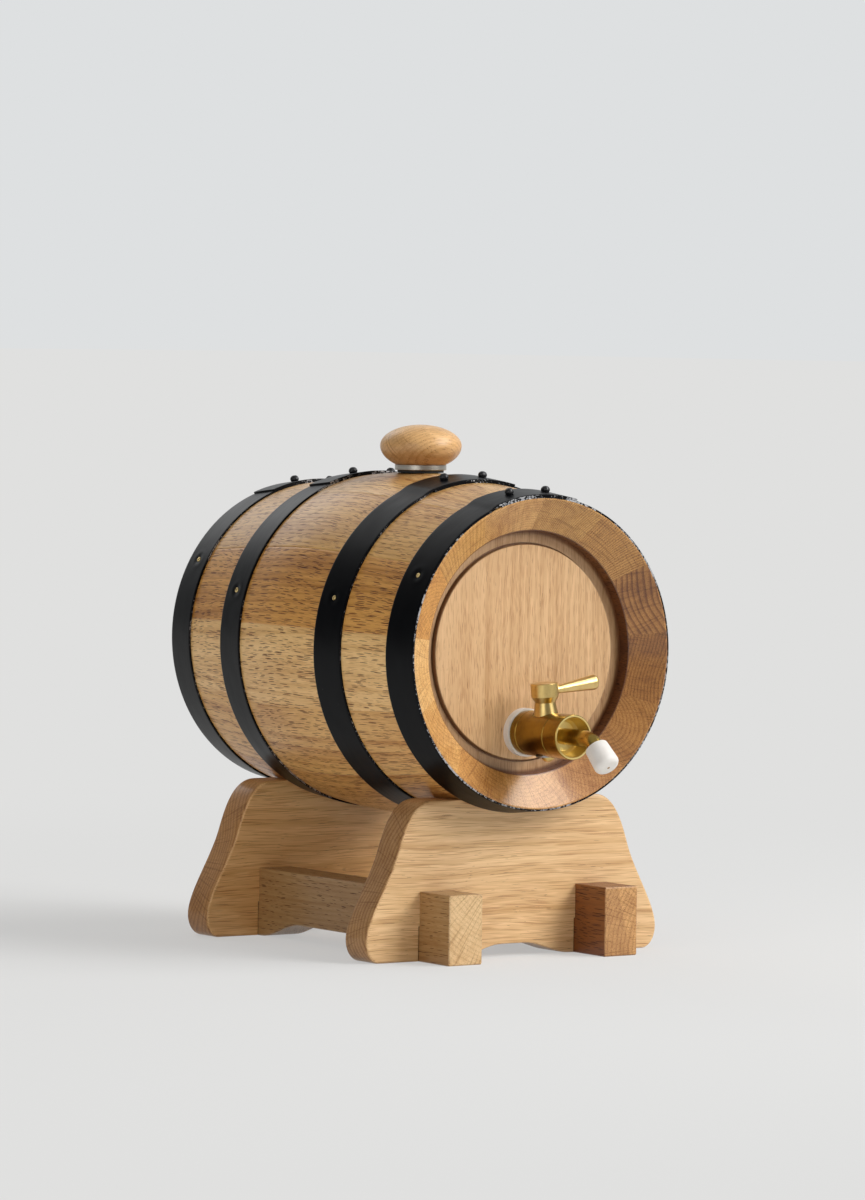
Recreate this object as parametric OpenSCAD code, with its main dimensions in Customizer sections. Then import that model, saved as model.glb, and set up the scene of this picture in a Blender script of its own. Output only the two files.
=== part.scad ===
// Small oak cask for spirits, lying on a cradle, with a brass tap in its front head.
// Millimetres. The floor is z = 0, z points up, and the tapped head faces -y.
// x = 0 is the middle plane, and y = 0 is halfway between the cap's tip and the back of the cask.
// Cask pieces are drawn round the z axis with z pointing out of the front head, then laid down.

/* [Cask] */
// Length over the staves
cask_len = 242.8; // [236:0.2:250]
// Radius at the middle of the cask
bilge_r = 96; // [94:0.5:98]
// Radius at the ends of the cask
chime_r = 85; // [83:0.5:87]
// How gently the curve turns over in the middle
bilge_round = 25; // [18:1:35]
// Thickness of the staves
stave_t = 18; // [16:0.5:19]
// Length of the bevel inside each end
chime_bevel = 12.3; // [10:0.1:14]
// Flat left at the very end of the staves
chime_land = 0.8; // [0.5:0.1:2]

/* [Heads] */
// From the end of the staves to the raised face of a head
head_recess = 17.4; // [16:0.2:19]
// Thickness of a head at its raised face
head_t = 14; // [13:0.5:16]
// Width of the lowered border round the raised face
border_w = 7.7; // [6:0.1:9]
// Depth of that border below the raised face
border_step = 2.5; // [1.5:0.1:3.5]
// Width of the cut line at the foot of the raised face
cut_line_w = 1; // [0.6:0.1:1.5]
// Depth of that cut line
cut_line_d = 1.2; // [0.6:0.1:1.8]
// Thickness of the tongue that sits in the staves' groove
tongue_t = 5; // [4:0.2:6]
// Depth of the groove in the staves
croze_d = 4; // [3:0.2:5]
// Radius of a head's inner face
head_inner_r = 62; // [58:1:64]

/* [Hoops] */
// Thickness of the hoop strip
hoop_t = 1.1; // [0.8:0.1:1.5]
// Width of an end hoop
chime_hoop_w = 22.6; // [18:0.2:24]
// Width of a quarter hoop
quarter_hoop_w = 22.6; // [18:0.2:24]
// From the middle of the cask to a quarter hoop
quarter_from_middle = 37.8; // [34:0.2:38]
// Angle of the hoops' overlap, measured at the cask's axis
lap_angle = 34; // [30:1:44]
// Angle between the two rivets of an overlap
rivet_spread = 15.6; // [10:0.2:20]
// Radius of a rivet's head
rivet_r = 2.2; // [2:0.1:3]
// Height of a rivet's head
rivet_h = 3.3; // [2.5:0.1:4]
// Radius of a rivet's shank
rivet_shank_r = 1.5; // [1:0.1:1.8]
// Radius of a tack's head
tack_r = 1.4; // [1.1:0.1:1.8]
// Height of a tack's head
tack_h = 0.6; // [0.4:0.1:0.9]
// Length of a tack below its head
tack_len = 7; // [5:0.5:10]

/* [Bung] */
// From the middle of the cask forward to the bung hole
bung_forward = 2; // [0:0.5:6]
// Radius of the bung hole
bung_hole_r = 10.5; // [9:0.1:11]
// How far the flat under the bung is cut into the cask
bung_flat = 0.5; // [0.3:0.1:0.9]
// Radius of the rubber flange
flange_r = 13; // [12.4:0.1:14]
// Thickness of the rubber flange
flange_t = 1.4; // [1:0.1:2]
// Length of the rubber plug below its flange
plug_len = 22; // [19:0.5:25]
// Radius of the steel collar
collar_r = 14.5; // [13.5:0.1:15]
// Height of the steel collar
collar_h = 3.1; // [2.5:0.1:4]
// Widest radius of the wooden knob
knob_r = 22.9; // [20:0.1:25]
// Height of the wooden knob
knob_h = 22.3; // [20:0.1:25]
// Height of the knob's widest place
knob_belly_h = 10.5; // [9:0.1:12]
// Radius of the screw that holds knob and plug together
bung_screw_r = 2; // [1.5:0.1:2.5]

/* [Tap] */
// Tap axis below the cask's axis
tap_drop = 43.8; // [42:0.2:44.5]
// How far the tap is turned away from upright
tap_turn = 4.5; // [0:0.5:8]
// Radius of the white washer
washer_r = 13.3; // [13:0.1:14.5]
// Thickness of the white washer
washer_t = 4.2; // [3:0.1:5]
// Radius of the tap's body
tap_r = 12.3; // [12:0.1:12.6]
// From the head's face to the open front of the tap
tap_len = 47; // [45:0.5:49]
// Radius of the shank that goes through the head
shank_r = 8; // [7:0.1:8.5]
// How far the shank stands out inside the cask
shank_inside = 4; // [2:0.5:6]
// Radius of the waterway
waterway_r = 3; // [2.5:0.1:3.2]
// Depth of the open bell at the front
bell_depth = 10; // [8:0.5:11]
// Wall of the bell at its rim
bell_wall = 1.2; // [0.6:0.1:1.4]
// Radius of the valve plug
valve_r = 5.5; // [5:0.1:6]
// From the head's face to the valve plug's axis
valve_at = 22.3; // [20:0.1:24]
// Radius of the hub at its top
hub_r = 7.6; // [7:0.1:8.2]
// Radius of the hub at its waist
hub_waist_r = 5.7; // [5.4:0.1:6.2]
// Radius of the hub at its foot
hub_foot_r = 6.8; // [6.2:0.1:7.2]
// Height of the hub
hub_h = 17.8; // [16:0.2:19]
// From the hub's axis to the lever's tip
lever_reach = 35; // [32:0.1:40]
// Radius of the lever where it leaves the hub
lever_root_r = 2.2; // [1.8:0.1:2.4]
// Radius of the lever near its tip
lever_tip_r = 4.2; // [3.4:0.1:4.6]
// How far the lever rises from level
lever_rise = 3.5; // [0:0.5:6]
// Radius of the head of the screw under the tap
tap_screw_r = 3.9; // [3.4:0.1:4.5]

/* [Spout] */
// Outer radius of the spout tube
spout_r = 4.5; // [4:0.1:4.8]
// From the head's face to the corner of the bend
bend_at = 63.3; // [61:0.1:67]
// Radius of the bend
bend_r = 12; // [9:0.5:14]
// Angle of the bend below the horizontal
spout_drop = 45; // [35:1:60]
// Length of the tube past the corner of the bend
spout_end = 18; // [17:0.5:22]
// Length of the cap
cap_len = 14.6; // [13:0.1:17]
// Outer radius of the cap
cap_r = 7.1; // [6.4:0.1:7.6]
// Rounding of the cap's closed end
cap_round = 3; // [1.5:0.1:3.5]
// How much of the tube the cap covers
cap_grip = 12; // [10:0.1:12.5]

/* [Cradle] */
// Half the width of a board at its feet
board_half_w = 97.9; // [92:0.2:100]
// Height of a board
board_h = 87.5; // [84:0.5:92]
// Thickness of a board
board_t = 21; // [19:0.5:21.5]
// Half the width of a board at its waist
waist_half_w = 78.2; // [74:0.5:80]
// Height of the waist
waist_h = 58; // [54:0.5:62]
// Half the width of the flat top
top_half_w = 54.5; // [50:0.5:58]
// How deep the cask lies in the front board
saddle_d = 9.7; // [7:0.1:12]
// Free length between the two boards
board_gap = 139; // [137:0.2:140]
// How far the cradle stands forward of the cask's middle
cradle_forward = 6.9; // [5.8:0.1:7.6]
// Height of the arch under a board
board_arch_h = 6.8; // [5:0.1:9]
// Width of a rail
rail_w = 21.9; // [20:0.1:24]
// Height of a rail
rail_h = 38.2; // [34:0.2:42]
// From the middle plane to a rail's inner side
rail_inner = 41.3; // [39:0.1:43]
// How far the rails stand out past the boards
rail_overhang = 28.8; // [24:0.1:32]
// Height of the arch under a rail
rail_arch_h = 9; // [6:0.1:12]

/* [Fits] */
// Gap between pieces that rest on each other but come apart
rest_gap = 0.3; // [0.2:0.05:0.35]
// Radial gap of a piece that turns or slides in a bore
run_gap = 0.05; // [0.02:0.01:0.08]
// Gap of a head's tongue in its groove
tongue_gap = 0.1; // [0.05:0.05:0.2]
// Gap between a rail and the sides of its slot
slot_gap = 0.25; // [0.1:0.05:0.4]

/* [Hidden] */
$fn = 96;

oak = "#c89a63";
pale_oak = "#d8b27c";
brown_oak = "#a87a48";
black_paint = "#1b1b1d";
brass = "#b8913f";
dull_brass = "#8a6526";
steel = "#b9b5ac";
black_rubber = "#141414";
white_silicone = "#eeece8";

// The staves' edges: one joint lies on top, under the bung.
stave_count = 13;
stave_angle = 360 / stave_count;
stave_tones = [oak, pale_oak, brown_oak, pale_oak, oak, oak, brown_oak,
               oak, pale_oak, oak, brown_oak, pale_oak, oak];

// Outline of the cask: a hyperbola, nearly straight towards the ends.
half_len = cask_len / 2;
bilge_fall = (bilge_r - chime_r) / (norm([half_len, bilge_round]) - bilge_round);
function wood_r(z) = bilge_r - bilge_fall * (norm([z, bilge_round]) - bilge_round);
function inner_r(z) = wood_r(z) - stave_t;

// Hoops, from the middle of the cask outwards.
quarter_in = quarter_from_middle;
quarter_out = quarter_in + quarter_hoop_w;
chime_in = half_len - chime_hoop_w;
quarter_mid = (quarter_in + quarter_out) / 2;
chime_mid = (chime_in + half_len) / 2;
// Where the overlap and its rivets lie on the front hoops and on the rear ones.
lap_middles = [92.3, 94];
rivet_middles = [92.3, 89];
lap_inset = 0.1;
chime_tacks = [30, 150];
quarter_tacks = [18, 162];
tack_shank_r = 0.6;
tack_sink = 0.35;
rivet_sink = 0.3;
rivet_gap = 0.25;

// Heads and the groove that holds them.
face_z = half_len - head_recess;
border_z = face_z - border_step;
tongue_z = border_z - tongue_t;
inner_face_z = face_z - head_t;
lip_r = chime_r - stave_t;
croze_r = lip_r + croze_d;
croze_out = border_z + tongue_gap;
croze_in = tongue_z - tongue_gap;
face_r = lip_r - border_w;
head_r = croze_r - tongue_gap;
tongue_root_r = inner_r(croze_in) - 1;
face_round = 0.4;

// Bung, measured up from the flat cut on top of the cask.
bung_seat_r = bilge_r - bung_flat;
collar_z = rest_gap + flange_t;
knob_z = collar_z + collar_h;
plug_rib_h = 3;
plug_rib_d = 0.6;
plug_r = bung_hole_r - run_gap;
bung_head_r = 4.2;
bung_head_h = 2.4;
bung_screw_in_knob = 12;

// Tap, measured out from the front head's raised face.
bell_floor = tap_len - bell_depth;
tap_rings = [washer_t + 5.3, bell_floor - 2.5];
tap_ring_w = 0.6;
tap_ring_d = 0.35;
socket_d = 5;
hub_seat = 10.2;
hub_seat_r = hub_foot_r + 0.5;
hub_z = hub_seat + rest_gap;
hub_neck_share = 0.405;
hub_cone_share = 0.18;
hub_waist_z = hub_z + hub_neck_share * hub_h;
hub_cone_z = hub_waist_z + hub_cone_share * hub_h;
hub_top_z = hub_z + hub_h;
lever_z = hub_cone_z + (hub_top_z - hub_cone_z) / 3;
lever_hole_x = 3.5;
stem_r = 3;
stem_top = hub_waist_z + 2;
screw_seat = 10.8;
valve_foot = screw_seat + rest_gap;
valve_washer_r = 6.6;
valve_washer_t = 0.8;
valve_screw_shank_r = 1.6;
valve_screw_len = 7;
tap_screw_h = 3.2;
seal_at = 7;
seal_r = 0.8;

// Spout, measured along the outlet from the corner of the bend.
bend_tangent = bend_r * tan(spout_drop / 2);
bend_overlap = 0.4;
bend_thinner = 0.02;
cap_mouth = spout_end - cap_grip;
cap_mouth_r = 0.92 * cap_r;
cap_end = cap_mouth + cap_len;
cap_bore_end = spout_end + 0.4;

// The tip of the cap is the foremost point, and the cask's back end is the rearmost.
cap_reach = bend_at + (cap_end - cap_round) * cos(spout_drop)
          + (cap_r - cap_round) * sin(spout_drop) + cap_round;
cask_y = (face_z + cap_reach - half_len) / 2;

// Cradle: the cask lies saddle_d deep in the front board.
front_board_in = board_gap / 2 + cradle_forward;
axis_h = board_h - saddle_d + wood_r(front_board_in);
cradle_y = cask_y - cradle_forward;
board_mid = (board_gap + board_t) / 2;
rail_len = board_gap + 2 * board_t + 2 * rail_overhang;
rail_x = rail_inner + rail_w / 2;
lap_h = rail_h / 2;
rail_slot_gap = 0.1;
foot_corner_w = 9;
foot_corner_h = 12;
// Pulls of a board's side curves, as shares of its widths and heights.
flank_swell = 0.29;
flank_swell_h = 0.72;
waist_pull = 0.17;
waist_pull_h = 0.41;
shoulder_pull = 0.61;
board_arch_half = rail_inner - 2.3;
board_arch_ease = 32;
rail_arch_half = board_gap / 2 - 2;
rail_arch_ease = 40;
arch_steps = 24;

// Lays a cask piece down: its z axis points out of the front head, its y axis up.
module lay_cask() {
    translate([0, cask_y, axis_h]) rotate([90, 0, 0]) children();
}

// A place on the cask's surface: children stand on it, with z pointing away from the axis.
module on_cask(angle, z, r) {
    rotate([0, 0, angle]) translate([r, 0, z]) rotate([0, 90, 0]) children();
}

// Puts children upright on the flat under the bung.
module at_bung() {
    translate([0, cask_y - bung_forward, axis_h + bung_seat_r]) children();
}

// Puts children on the front head's face: z points out of the cask, y up.
module at_tap() {
    translate([0, cask_y - face_z, axis_h - tap_drop])
        rotate([90, 0, 0]) rotate([0, 0, tap_turn]) children();
}

// Puts children on the valve plug's axis, with z pointing up.
module at_valve() {
    at_tap() translate([0, 0, valve_at]) rotate([-90, 0, 0]) children();
}

// Puts children at the corner of the bend, with z pointing out of the spout.
module at_outlet() {
    at_tap() translate([0, 0, bend_at]) rotate([spout_drop, 0, 0]) children();
}

// A domed disc standing on z = 0.
module dome(r, h) {
    ball_r = (r * r + h * h) / (2 * h);
    intersection() {
        translate([0, 0, h - ball_r]) sphere(r = ball_r);
        cylinder(r = r + 1, h = h + 1);
    }
}

// ---- Staves ----

// Outline heights: the curve is straight under each hoop, so the hoops sit flush.
outer_z = concat(
    [for (i = [0 : 4]) quarter_in * i / 5],
    [quarter_in, quarter_out],
    [for (i = [1 : 3]) quarter_out + (chime_in - quarter_out) * i / 4],
    [chime_in, half_len]
);
outer_last = len(outer_z) - 1;
inner_steps = 6;

function stave_outline() = concat(
    [for (i = [outer_last : -1 : 0]) [wood_r(outer_z[i]), outer_z[i]]],
    [for (i = [1 : outer_last]) [wood_r(outer_z[i]), -outer_z[i]]],
    [[chime_r - chime_land, -half_len],
     [lip_r, chime_bevel - half_len],
     [lip_r, -croze_out],
     [croze_r, -croze_out],
     [croze_r, -croze_in]],
    [for (i = [-inner_steps : inner_steps])
        let (z = croze_in * i / inner_steps) [inner_r(z), z]],
    [[croze_r, croze_in],
     [croze_r, croze_out],
     [lip_r, croze_out],
     [lip_r, half_len - chime_bevel],
     [chime_r - chime_land, half_len]]
);

module stave(number) {
    color(stave_tones[number - 1]) lay_cask() difference() {
        rotate([0, 0, 90 + (number - 1) * stave_angle])
            rotate_extrude(angle = stave_angle) polygon(stave_outline());
        if (number == 1 || number == stave_count) bung_hole();
        tack_holes();
    }
}

module bung_hole() {
    translate([0, 0, bung_forward]) rotate([-90, 0, 0]) {
        cylinder(r = bung_hole_r, h = bilge_r + 1);
        translate([0, 0, bung_seat_r]) cylinder(r = collar_r + 1, h = bung_flat + 1);
    }
}

// ---- Heads ----

module head_blank() {
    rotate_extrude() polygon([
        [0, face_z],
        [face_r - face_round, face_z],
        [face_r, face_z - face_round],
        [face_r, border_z - cut_line_d],
        [face_r + cut_line_w, border_z - cut_line_d],
        [face_r + cut_line_w, border_z],
        [head_r, border_z],
        [head_r, tongue_z],
        [tongue_root_r, tongue_z],
        [head_inner_r, inner_face_z],
        [0, inner_face_z]
    ]);
}

module front_head() {
    color(pale_oak) lay_cask() difference() {
        head_blank();
        translate([0, -tap_drop, 0]) cylinder(r = shank_r + run_gap, h = half_len);
    }
}

module rear_head() {
    color(pale_oak) lay_cask() mirror([0, 0, 1]) head_blank();
}

// ---- Hoops ----

function band(z1, z2, from, to) = [
    [wood_r(z1) + from * hoop_t, z1],
    [wood_r(z1) + to * hoop_t, z1],
    [wood_r(z2) + to * hoop_t, z2],
    [wood_r(z2) + from * hoop_t, z2]
];

module hoop(z1, z2, end) {
    color(black_paint) difference() {
        union() {
            rotate_extrude() polygon(band(z1, z2, 0, 1));
            rotate([0, 0, lap_middles[end] - lap_angle / 2]) rotate_extrude(angle = lap_angle)
                polygon(band(z1 + lap_inset, z2 - lap_inset, 0.5, 2));
        }
        rivets(z1, z2, end);
        tacks_of_hoop((z1 + z2) / 2, z1 == quarter_in ? quarter_tacks : chime_tacks);
    }
}

module front_chime_hoop() {
    lay_cask() hoop(chime_in, half_len, 0);
}

module front_quarter_hoop() {
    lay_cask() hoop(quarter_in, quarter_out, 0);
}

module rear_quarter_hoop() {
    lay_cask() mirror([0, 0, 1]) hoop(quarter_in, quarter_out, 1);
}

module rear_chime_hoop() {
    lay_cask() mirror([0, 0, 1]) hoop(chime_in, half_len, 1);
}

// Radius halfway across a hoop, on its inner face: the strip is straight from edge to edge.
function hoop_r(z1, z2) = (wood_r(z1) + wood_r(z2)) / 2;

// The two rivets of one overlap, let a little into the strip.
module rivets(z1, z2, end) {
    r = hoop_r(z1, z2);
    for (side = [-1, 1])
        on_cask(rivet_middles[end] + side * rivet_spread / 2, (z1 + z2) / 2, r) {
            translate([0, 0, rivet_gap])
                cylinder(r = rivet_shank_r, h = 2 * hoop_t - rivet_gap);
            translate([0, 0, 2 * hoop_t - rivet_sink]) dome(rivet_r, rivet_h + rivet_sink);
        }
}

module hoop_rivets() {
    color(black_paint) lay_cask() for (end = [0, 1]) mirror([0, 0, end]) {
        rivets(chime_in, half_len, end);
        rivets(quarter_in, quarter_out, end);
    }
}

// The tacks of one hoop: each goes through the strip into the stave.
module tacks_of_hoop(mid, angles) {
    r = mid > quarter_out ? hoop_r(chime_in, half_len) : hoop_r(quarter_in, quarter_out);
    for (angle = angles)
        on_cask(angle, mid, r) {
            translate([0, 0, -tack_len]) cylinder(r = tack_shank_r, h = tack_len + hoop_t);
            translate([0, 0, hoop_t - tack_sink]) dome(tack_r, tack_h + tack_sink);
        }
}

module all_tacks() {
    for (end = [0, 1]) mirror([0, 0, end]) {
        tacks_of_hoop(chime_mid, chime_tacks);
        tacks_of_hoop(quarter_mid, quarter_tacks);
    }
}

module tack_holes() {
    all_tacks();
}

module hoop_tacks() {
    color(brass) lay_cask() all_tacks();
}

// ---- Bung ----

// Rubber plug with two sealing ribs, and a flange that rests on the cask.
module bung_plug() {
    color(black_rubber) at_bung() difference() {
        union() {
            translate([0, 0, rest_gap]) cylinder(r = flange_r, h = flange_t);
            translate([0, 0, rest_gap - plug_len])
                cylinder(r = plug_r - plug_rib_d, h = plug_len);
            for (z = [0.25, 0.65])
                translate([0, 0, rest_gap - plug_len * z - plug_rib_h])
                    cylinder(r = plug_r, h = plug_rib_h);
        }
        translate([0, 0, rest_gap - plug_len - 1])
            cylinder(r = bung_screw_r, h = plug_len + flange_t + 2);
        translate([0, 0, rest_gap - plug_len - 1])
            cylinder(r = bung_head_r, h = bung_head_h + 1);
    }
}

module bung_collar() {
    edge = 0.3;
    color(steel) at_bung() translate([0, 0, collar_z]) rotate_extrude() polygon([
        [bung_screw_r, 0],
        [collar_r - edge, 0],
        [collar_r, edge],
        [collar_r, collar_h - edge],
        [collar_r - edge, collar_h],
        [bung_screw_r, collar_h]
    ]);
}

// Turned knob: an ellipse above the belly, a fuller one below it, cut off at the collar.
module bung_knob() {
    foot_r = collar_r - 0.3;
    lower_h = knob_belly_h / sqrt(1 - pow(foot_r / knob_r, 2));
    low_angle = asin(knob_belly_h / lower_h);
    steps = 8;
    color(oak) at_bung() translate([0, 0, knob_z]) difference() {
        rotate_extrude() polygon(concat(
            [[0, 0]],
            [for (i = [0 : steps - 1]) let (a = low_angle * (1 - i / steps))
                [knob_r * cos(a), knob_belly_h - lower_h * sin(a)]],
            [for (i = [0 : steps - 1]) let (a = 90 * i / steps)
                [knob_r * cos(a), knob_belly_h + (knob_h - knob_belly_h) * sin(a)]],
            [[0, knob_h]]
        ));
        translate([0, 0, -1]) cylinder(r = bung_screw_r, h = bung_screw_in_knob + 1);
    }
}

module bung_screw() {
    color(steel) at_bung() {
        translate([0, 0, rest_gap - plug_len]) {
            cylinder(r = bung_head_r, h = bung_head_h);
            cylinder(r = bung_screw_r,
                     h = plug_len + flange_t + collar_h + bung_screw_in_knob);
        }
    }
}

// ---- Tap ----

module tap_washer() {
    color(white_silicone) at_tap() difference() {
        cylinder(r = washer_r, h = washer_t);
        translate([0, 0, -1]) cylinder(r = shank_r, h = washer_t + 2);
    }
}

// Turned brass body with its shank, bored across for the valve plug.
module tap_body() {
    shank_z = -head_t - shank_inside;
    rim_r = tap_r - bell_wall;
    floor_r = rim_r - 1.5;
    color(dull_brass) difference() {
        at_tap() rotate_extrude() polygon(concat(
            [[waterway_r, shank_z], [shank_r - 1, shank_z], [shank_r, shank_z + 1],
             [shank_r, washer_t], [tap_r - 0.4, washer_t], [tap_r, washer_t + 0.4]],
            [for (z = tap_rings) each
                [[tap_r, z - tap_ring_w / 2], [tap_r - tap_ring_d, z],
                 [tap_r, z + tap_ring_w / 2]]],
            [[tap_r, tap_len - 0.3], [tap_r - 0.3, tap_len], [rim_r, tap_len],
             [floor_r, bell_floor + 1.5], [floor_r - 1.5, bell_floor],
             [spout_r, bell_floor], [spout_r, bell_floor - socket_d],
             [waterway_r, bell_floor - socket_d]]
        ));
        at_valve() {
            cylinder(r = valve_r + run_gap, h = 4 * tap_r, center = true);
            translate([0, 0, hub_seat]) cylinder(r = hub_seat_r, h = tap_r);
            translate([0, 0, -screw_seat - tap_r])
                cylinder(r = valve_washer_r + 0.4, h = tap_r);
        }
    }
}

// Valve plug: its cross bore lies across the tap, so the tap is shut.
module valve_plug() {
    color(brass) at_valve() difference() {
        union() {
            translate([0, 0, -valve_foot]) cylinder(r = valve_r, h = valve_foot + hub_z);
            cylinder(r = stem_r, h = stem_top);
        }
        rotate([0, 90, 0]) cylinder(r = waterway_r, h = 3 * valve_r, center = true);
        translate([0, 0, -valve_foot - 1])
            cylinder(r = valve_screw_shank_r, h = valve_screw_len + 1);
        for (side = [-1, 1]) translate([0, 0, side * seal_at]) seal_groove();
    }
}

module seal_groove() {
    rotate_extrude() translate([valve_r - 2 * seal_r, -seal_r])
        square([2 * seal_r + 1, 2 * seal_r]);
}

module valve_seals() {
    color(black_rubber) at_valve() for (side = [-1, 1])
        translate([0, 0, side * seal_at])
            rotate_extrude() translate([valve_r - seal_r, 0]) circle(r = seal_r);
}

module valve_washer() {
    color(steel) at_valve() difference() {
        translate([0, 0, -valve_foot - valve_washer_t])
            cylinder(r = valve_washer_r, h = valve_washer_t);
        translate([0, 0, -2 * valve_foot])
            cylinder(r = valve_screw_shank_r, h = 2 * valve_foot);
    }
}

module valve_screw() {
    color(brass) at_valve() translate([0, 0, -valve_foot - valve_washer_t]) {
        cylinder(r = valve_screw_shank_r, h = valve_screw_len + valve_washer_t);
        mirror([0, 0, 1]) dome(tap_screw_r, tap_screw_h);
    }
}

module handle_hub() {
    edge = 0.4;
    color(brass) at_valve() difference() {
        rotate_extrude() polygon([
            [0, hub_z],
            [hub_foot_r, hub_z],
            [hub_waist_r, hub_waist_z],
            [hub_r, hub_cone_z],
            [hub_r, hub_top_z - edge],
            [hub_r - edge, hub_top_z],
            [0, hub_top_z]
        ]);
        cylinder(r = stem_r, h = stem_top);
        along_lever() translate([0, 0, lever_hole_x]) cylinder(r = lever_root_r, h = hub_r);
    }
}

// Lays children along the lever: z points from the hub's axis to its tip.
module along_lever() {
    translate([0, 0, lever_z]) rotate([0, 90 - lever_rise, 0]) children();
}

// Tapered lever, fixed in a hole in the hub.
module handle_lever() {
    neck = hub_r + 1;
    tip_round = 2.2;
    shoulder = lever_reach - tip_round;
    color(brass) at_valve() along_lever()
        rotate_extrude() polygon(concat(
            [[0, lever_hole_x], [lever_root_r, lever_hole_x], [lever_root_r, neck]],
            [for (i = [0 : 5]) let (a = 90 * i / 6)
                [lever_tip_r - tip_round * (1 - cos(a)), shoulder + tip_round * sin(a)]],
            [[lever_tip_r - tip_round, lever_reach], [0, lever_reach]]
        ));
}

// ---- Spout ----

// A round bar of radius r along the spout, from the tap's socket to past_corner. The bend is a
// hair thinner than the straight parts, which reach a little way into it.
module spout_bar(r, past_corner) {
    start = bell_floor - socket_d;
    at_tap() translate([0, 0, start])
        cylinder(r = r, h = bend_at - bend_tangent + bend_overlap - start);
    at_tap() translate([0, -bend_r, bend_at - bend_tangent]) rotate([0, 90, 0])
        rotate([0, 0, 90]) rotate_extrude(angle = spout_drop) translate([bend_r, 0])
            circle(r = r - bend_thinner);
    at_outlet() translate([0, 0, bend_tangent - bend_overlap])
        cylinder(r = r, h = past_corner - bend_tangent + bend_overlap);
}

module spout_tube() {
    color(brass) difference() {
        spout_bar(spout_r, spout_end);
        spout_bar(waterway_r, spout_end);
    }
}

module spout_cap() {
    color(white_silicone) at_outlet() rotate_extrude() polygon(concat(
        [[spout_r + run_gap, cap_mouth], [cap_mouth_r - 0.4, cap_mouth],
         [cap_mouth_r, cap_mouth + 0.4]],
        [for (i = [0 : 6]) let (a = 90 * i / 6)
            [cap_r - cap_round * (1 - cos(a)), cap_end - cap_round * (1 - sin(a))]],
        [[0, cap_end], [0, cap_bore_end], [spout_r + run_gap, cap_bore_end]]
    ));
}

// ---- Cradle ----

// A smooth step from 0 to 1.
function ease(t) = 0.5 - 0.5 * cos(180 * max(0, min(1, t)));

// A cubic curve between the first and last of four points.
function curve(p, steps) = [for (i = [0 : steps - 1]) let (t = i / steps, s = 1 - t)
    s * s * s * p[0] + 3 * s * s * t * p[1] + 3 * s * t * t * p[2] + t * t * t * p[3]];

// One side of a board: rounded foot, swelling flank, hollow waist and round shoulder.
function board_side() = concat(
    [for (i = [0 : 5]) let (a = 90 * i / 6)
        [board_half_w - foot_corner_w * (1 - sin(a)), foot_corner_h * (1 - cos(a))]],
    curve([[board_half_w, foot_corner_h], [board_half_w, 2 * foot_corner_h],
           [waist_half_w + flank_swell * (board_half_w - waist_half_w), flank_swell_h * waist_h],
           [waist_half_w, waist_h]], 12),
    curve([[waist_half_w, waist_h],
           [waist_half_w - waist_pull * (waist_half_w - top_half_w),
            waist_h + waist_pull_h * (board_h - waist_h)],
           [top_half_w + shoulder_pull * (waist_half_w - top_half_w), board_h],
           [top_half_w, board_h]], 10),
    [[top_half_w, board_h]]
);

// The space under an arch of half-width half and height rise, as an outline.
function arch(half, rise, ease_len) = concat(
    [[half, -1], [-half, -1]],
    [for (i = [-arch_steps : arch_steps]) let (x = half * i / arch_steps)
        [x, rise * ease((half - abs(x)) / ease_len)]]
);

module board_outline() {
    side = board_side();
    difference() {
        polygon(concat(side, [for (i = [len(side) - 1 : -1 : 0]) [-side[i][0], side[i][1]]]));
        polygon(arch(board_arch_half, board_arch_h, board_arch_ease));
        for (s = [-1, 1]) translate([s * rail_x - rail_w / 2 - slot_gap, -1])
            square([rail_w + 2 * slot_gap, lap_h + 1]);
    }
}

module board(side) {
    color(pale_oak) difference() {
        translate([0, cradle_y + side * board_mid + board_t / 2, 0])
            rotate([90, 0, 0]) linear_extrude(board_t) board_outline();
        saddle_cut();
    }
}

// The cask's outside, grown by the resting gap: it cuts the saddles.
module saddle_cut() {
    grown = [for (z = outer_z) if (z <= chime_in) [wood_r(z) + rest_gap, z]];
    last = len(grown) - 1;
    lay_cask() rotate_extrude() polygon(concat(
        [[0, chime_in]],
        [for (i = [last : -1 : 0]) grown[i]],
        [for (i = [1 : last]) [grown[i][0], -grown[i][1]]],
        [[0, -chime_in]]
    ));
}

module front_board() {
    board(-1);
}

module rear_board() {
    board(1);
}

module rail(side) {
    color(oak) difference() {
        translate([side * rail_x - rail_w / 2, cradle_y - rail_len / 2, 0])
            cube([rail_w, rail_len, rail_h]);
        translate([side * rail_x - rail_w, cradle_y, 0]) rotate([90, 0, 90])
            linear_extrude(2 * rail_w)
                polygon(arch(rail_arch_half, rail_arch_h, rail_arch_ease));
        for (s = [-1, 1])
            translate([side * rail_x - rail_w,
                       cradle_y + s * board_mid - board_t / 2 - rail_slot_gap, lap_h])
                cube([2 * rail_w, board_t + 2 * rail_slot_gap, rail_h]);
    }
}

module left_rail() {
    rail(-1);
}

module right_rail() {
    rail(1);
}

stave(1);  // stave_01
stave(2);  // stave_02
stave(3);  // stave_03
stave(4);  // stave_04
stave(5);  // stave_05
stave(6);  // stave_06
stave(7);  // stave_07
stave(8);  // stave_08
stave(9);  // stave_09
stave(10);  // stave_10
stave(11);  // stave_11
stave(12);  // stave_12
stave(13);  // stave_13
front_head();
rear_head();
front_chime_hoop();
front_quarter_hoop();
rear_quarter_hoop();
rear_chime_hoop();
hoop_rivets();
hoop_tacks();
bung_plug();
bung_collar();
bung_knob();
bung_screw();
tap_washer();
tap_body();
valve_plug();
valve_seals();
valve_washer();
valve_screw();
handle_hub();
handle_lever();
spout_tube();
spout_cap();
front_board();
rear_board();
left_rail();
right_rail();
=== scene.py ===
"""A small oak cask for spirits on its cradle: its looks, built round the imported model."""
import math

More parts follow.
